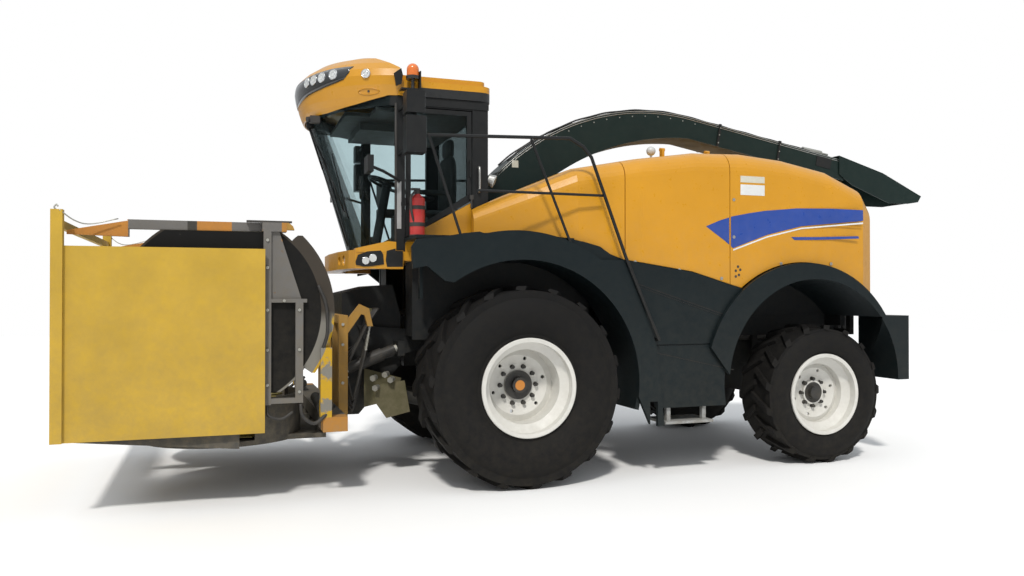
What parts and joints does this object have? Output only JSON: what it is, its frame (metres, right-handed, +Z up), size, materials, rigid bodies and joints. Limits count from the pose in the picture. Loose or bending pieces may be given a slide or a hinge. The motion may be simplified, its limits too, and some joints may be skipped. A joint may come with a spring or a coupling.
{
  "type": "forage harvester",
  "caption": "Self-propelled forage harvester with glazed cab, discharge spout over the bonnet, and a rotary maize header folded up inside a flat road guard",
  "frame": {"origin": "on the ground under the middle of the whole length and width", "axes": "+X is forward, +Y is the driver's left, +Z is up"},
  "size_m": [9.38, 3.2998, 3.9337],
  "materials": {
    "frame_paint": "satin",
    "engine_grey": "matte",
    "rim_white": "satin",
    "tyre_rubber": "matte",
    "yellow_paint": "gloss",
    "dark_plastic": "satin",
    "black_paint": "satin",
    "black_plastic": "satin",
    "step_metal": "matte",
    "tinted_glass": "clear",
    "seat_fabric": "matte",
    "lamp_lens": "gloss",
    "beacon_orange": "gloss",
    "spout_paint": "satin",
    "header_steel": "matte",
    "guard_yellow": "matte",
    "rotor_steel": "matte"
  },
  "bodies": {
    "machine": {"chassis_frame": "frame_paint", "body_frame": "frame_paint", "front_axle": "frame_paint", "rear_axle": "frame_paint", "crop_unit": "frame_paint", "engine_block": "engine_grey", "bonnet_front": "yellow_paint", "bonnet_roof": "yellow_paint", "bonnet_rear": "yellow_paint", "rear_grille": "black_paint", "front_fenders": "dark_plastic", "rear_fenders": "dark_plastic", "side_skirts": "dark_plastic", "steps": "step_metal", "handrails": "black_paint", "cab_floor": "yellow_paint", "cab_frame": "black_paint", "cab_glass": "tinted_glass", "cab_roof": "yellow_paint", "driver_seat": "seat_fabric", "steering_column": "black_plastic", "mirrors": "black_paint", "work_lamps": "lamp_lens", "beacon": "beacon_orange"},
    "steering_left": {"knuckle_left": "frame_paint"},
    "steering_right": {"knuckle_right": "frame_paint"},
    "front_wheel_left": {"front_rim_left": "rim_white", "front_tyre_left": "tyre_rubber"},
    "front_wheel_right": {"front_rim_right": "rim_white", "front_tyre_right": "tyre_rubber"},
    "rear_wheel_left": {"rear_rim_left": "rim_white", "rear_tyre_left": "tyre_rubber"},
    "rear_wheel_right": {"rear_rim_right": "rim_white", "rear_tyre_right": "tyre_rubber"},
    "lid_left": {"side_panel_left": "yellow_paint"},
    "lid_right": {"side_panel_right": "yellow_paint"},
    "door": {"cab_door": "black_paint", "door_glass": "tinted_glass"},
    "turret": {"spout_turret": "spout_paint"},
    "spout": {"spout_duct": "spout_paint"},
    "flap": {"spout_flap": "spout_paint"},
    "header": {"feeder_house": "frame_paint", "header_coupler": "guard_yellow", "header_frame": "header_steel", "wing_pans": "dark_plastic", "wing_frames": "header_steel", "road_guard": "guard_yellow"},
    "rotor_centre_left": {"centre_rotor_left": "rotor_steel"},
    "rotor_centre_right": {"centre_rotor_right": "rotor_steel"},
    "rotor_wing_left": {"wing_rotor_left": "rotor_steel"},
    "rotor_wing_right": {"wing_rotor_right": "rotor_steel"}
  },
  "joints": [
    {"name": "front_wheel_left_spin", "type": "hinge", "parent": "machine", "child": "front_wheel_left", "pos_m": [1, 1.25, 0.88], "axis": [0, 1, 0], "continuous": true},
    {"name": "steer_left", "type": "hinge", "parent": "machine", "child": "steering_left", "pos_m": [-2.2, 0.95, 0.69], "axis": [0, 0, 1], "range_deg": [-40, 40]},
    {"name": "rear_wheel_left_spin", "type": "hinge", "parent": "steering_left", "child": "rear_wheel_left", "pos_m": [-2.2, 1.225, 0.69], "axis": [0, 1, 0], "continuous": true},
    {"name": "lid_left", "type": "hinge", "parent": "machine", "child": "lid_left", "pos_m": [-0.56, 1.16, 3.092], "axis": [1, 0, 0], "range_deg": [0, 60]},
    {"name": "rotor_centre_left_spin", "type": "hinge", "parent": "header", "child": "rotor_centre_left", "pos_m": [3.5, 0.69, 0.52], "axis": [0, 0, 1], "continuous": true},
    {"name": "rotor_wing_left_spin", "type": "hinge", "parent": "header", "child": "rotor_wing_left", "pos_m": [3.5, 1.2, 1.545], "axis": [0, 1, 0], "continuous": true},
    {"name": "front_wheel_right_spin", "type": "hinge", "parent": "machine", "child": "front_wheel_right", "pos_m": [1, -1.25, 0.88], "axis": [0, 1, 0], "continuous": true},
    {"name": "steer_right", "type": "hinge", "parent": "machine", "child": "steering_right", "pos_m": [-2.2, -0.95, 0.69], "axis": [0, 0, 1], "range_deg": [-40, 40]},
    {"name": "rear_wheel_right_spin", "type": "hinge", "parent": "steering_right", "child": "rear_wheel_right", "pos_m": [-2.2, -1.225, 0.69], "axis": [0, 1, 0], "continuous": true},
    {"name": "lid_right", "type": "hinge", "parent": "machine", "child": "lid_right", "pos_m": [-0.56, -1.16, 3.092], "axis": [-1, 0, 0], "range_deg": [0, 60]},
    {"name": "rotor_centre_right_spin", "type": "hinge", "parent": "header", "child": "rotor_centre_right", "pos_m": [3.5, -0.69, 0.52], "axis": [0, 0, 1], "continuous": true},
    {"name": "rotor_wing_right_spin", "type": "hinge", "parent": "header", "child": "rotor_wing_right", "pos_m": [3.5, -1.2, 1.545], "axis": [0, 1, 0], "continuous": true},
    {"name": "cab_door_swing", "type": "hinge", "parent": "machine", "child": "door", "pos_m": [1.948, 0.962, 2.48], "axis": [0, 0, -1], "range_deg": [0, 42]},
    {"name": "spout_turn", "type": "hinge", "parent": "machine", "child": "turret", "pos_m": [0.67, 0, 2.6], "axis": [0, 0, 1], "range_deg": [-90, 90]},
    {"name": "spout_lift", "type": "hinge", "parent": "turret", "child": "spout", "pos_m": [0.922, 0, 2.75], "axis": [0, 1, 0], "range_deg": [0, 30]},
    {"name": "flap_tilt", "type": "hinge", "parent": "spout", "child": "flap", "pos_m": [-3.52, 0, 3.24], "axis": [0, -1, 0], "range_deg": [0, 45]},
    {"name": "header_lift", "type": "hinge", "parent": "machine", "child": "header", "pos_m": [1.75, 0, 1.25], "axis": [0, -1, 0], "range_deg": [-10, 8]}
  ],
  "couplings": [
    {"joint": "steer_right", "follows": "steer_left", "ratio": 1}
  ]
}
